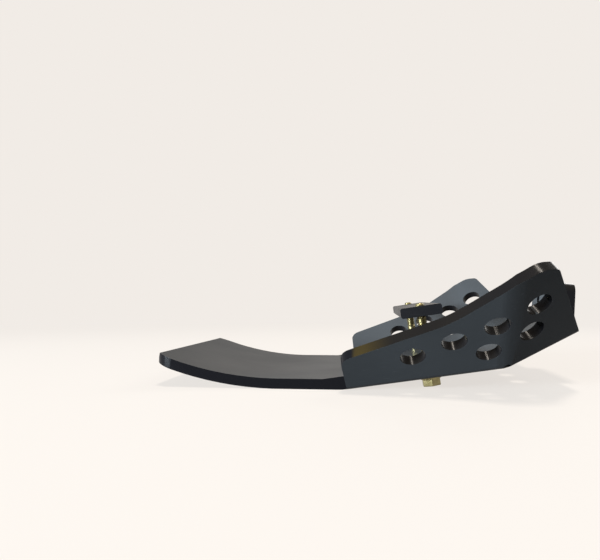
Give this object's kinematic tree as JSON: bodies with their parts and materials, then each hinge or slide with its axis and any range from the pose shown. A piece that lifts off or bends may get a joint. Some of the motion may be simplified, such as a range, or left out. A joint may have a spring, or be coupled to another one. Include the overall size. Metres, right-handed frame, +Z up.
{
  "type": "motorcycle skid plate",
  "caption": "Folded plastic skid plate with flared, drilled wings and an upright front tongue, held under the lower frame rails by a clamp bar and long hex bolts",
  "frame": {"origin": "under the middle of the plate's length, on the centre plane, at the level of the flat's underside", "axes": "+X forward on the machine, +Y to its left, +Z up"},
  "size_m": [0.2544, 0.2646, 0.0707],
  "materials": {
    "sheet": "moulded sheet plastic, fine scuffs, cut edges slightly paler",
    "bar": "satin black paint",
    "zinc": "pale yellow zinc plating"
  },
  "bodies": {
    "root": {"skid_plate": "sheet", "clamp_bar": "bar", "bolt_left": "zinc", "bolt_right": "zinc", "washer_left": "zinc", "washer_right": "zinc"}
  },
  "joints": []
}
